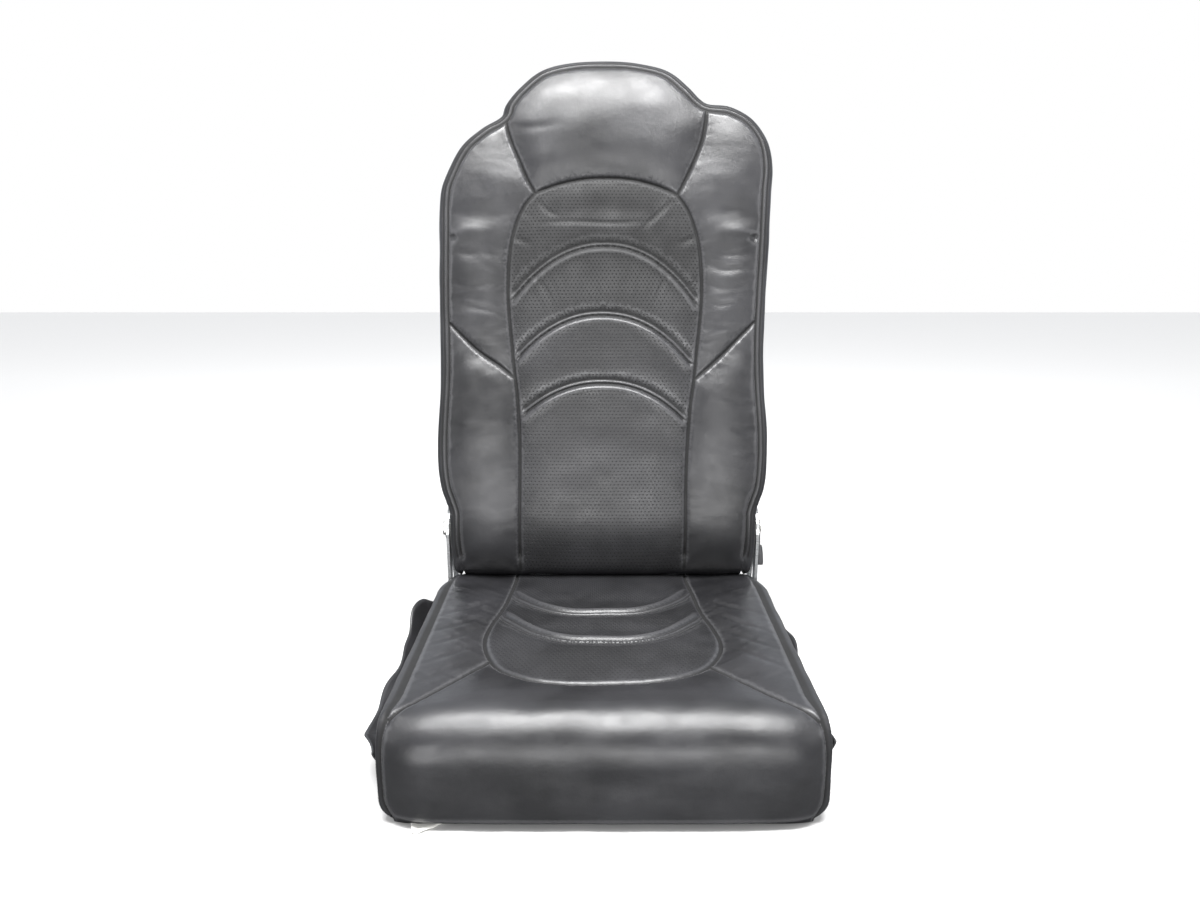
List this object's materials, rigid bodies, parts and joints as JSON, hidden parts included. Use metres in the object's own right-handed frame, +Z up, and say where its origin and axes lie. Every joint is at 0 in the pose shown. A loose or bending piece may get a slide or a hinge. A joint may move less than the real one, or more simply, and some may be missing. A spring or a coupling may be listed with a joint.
{
  "type": "aircraft passenger seat",
  "caption": "Black leather aircraft passenger seat: padded cushion on a pressed pan, reclining and folding back with built-in headrest, release lever at the right.",
  "frame": {"origin": "underside of the seat pan, under the middle of the cushion", "axes": "+Z up, the seat faces -Y, and +X is to the right of someone looking at its front"},
  "size_m": [0.5485, 0.6811, 0.8731],
  "materials": {
    "leather": "satin",
    "foam": "matte",
    "aluminium": "satin",
    "zinc_steel": "satin",
    "bronze": "satin",
    "frame_paint": "satin",
    "lever_paint": "satin",
    "grip_plastic": "satin",
    "shell_plastic": "satin",
    "webbing": "matte",
    "liner": "matte"
  },
  "bodies": {
    "seat_base": {"seat_pan": "aluminium", "rear_crossmember": "aluminium", "hinge_plate_left": "aluminium", "hinge_plate_right": "aluminium", "hinge_bolt_left_front": "zinc_steel", "hinge_bolt_left_rear": "zinc_steel", "hinge_bolt_right_front": "zinc_steel", "hinge_bolt_right_rear": "zinc_steel", "pivot_bush_left": "bronze", "pivot_bush_right": "bronze", "recliner_fixed_disc_left": "zinc_steel", "recliner_fixed_disc_right": "zinc_steel", "return_spring": "zinc_steel", "spring_pin": "zinc_steel", "seat_foam": "foam", "seat_cover": "leather", "seat_liner": "liner", "hook_tape_left": "webbing", "hook_tape_right": "webbing", "side_flap_left": "webbing", "side_flap_right": "webbing"},
    "backrest": {"frame_hoop": "frame_paint", "lower_cross_tube": "frame_paint", "middle_tube": "frame_paint", "frame_socket_left": "frame_paint", "frame_socket_right": "frame_paint", "frame_flange_left": "frame_paint", "frame_flange_right": "frame_paint", "recliner_moving_disc_left": "zinc_steel", "recliner_moving_disc_right": "zinc_steel", "headrest_stay": "frame_paint", "lumbar_strap_1": "webbing", "lumbar_strap_2": "webbing", "lumbar_strap_3": "webbing", "back_foam": "foam", "headrest_foam": "foam", "back_cover": "leather", "back_shell": "shell_plastic", "shell_screw_lower_left": "zinc_steel", "shell_screw_lower_right": "zinc_steel", "shell_screw_upper_left": "zinc_steel", "shell_screw_upper_right": "zinc_steel"},
    "recline_lever": {"cross_shaft": "zinc_steel", "release_lever": "lever_paint", "lever_grip": "grip_plastic", "lever_screw": "zinc_steel", "shaft_collar": "zinc_steel"}
  },
  "joints": [
    {"name": "backrest_recline", "type": "hinge", "parent": "seat_base", "child": "backrest", "pos_m": [0, 0.262, 0.19], "axis": [1, 0, 0], "range_deg": [-25, 88]},
    {"name": "lever_lift", "type": "hinge", "parent": "seat_base", "child": "recline_lever", "pos_m": [0, 0.262, 0.19], "axis": [1, 0, 0], "range_deg": [0, 25], "stiffness_Nm_per_rad": 0.6, "springref_deg": -14.32}
  ]
}
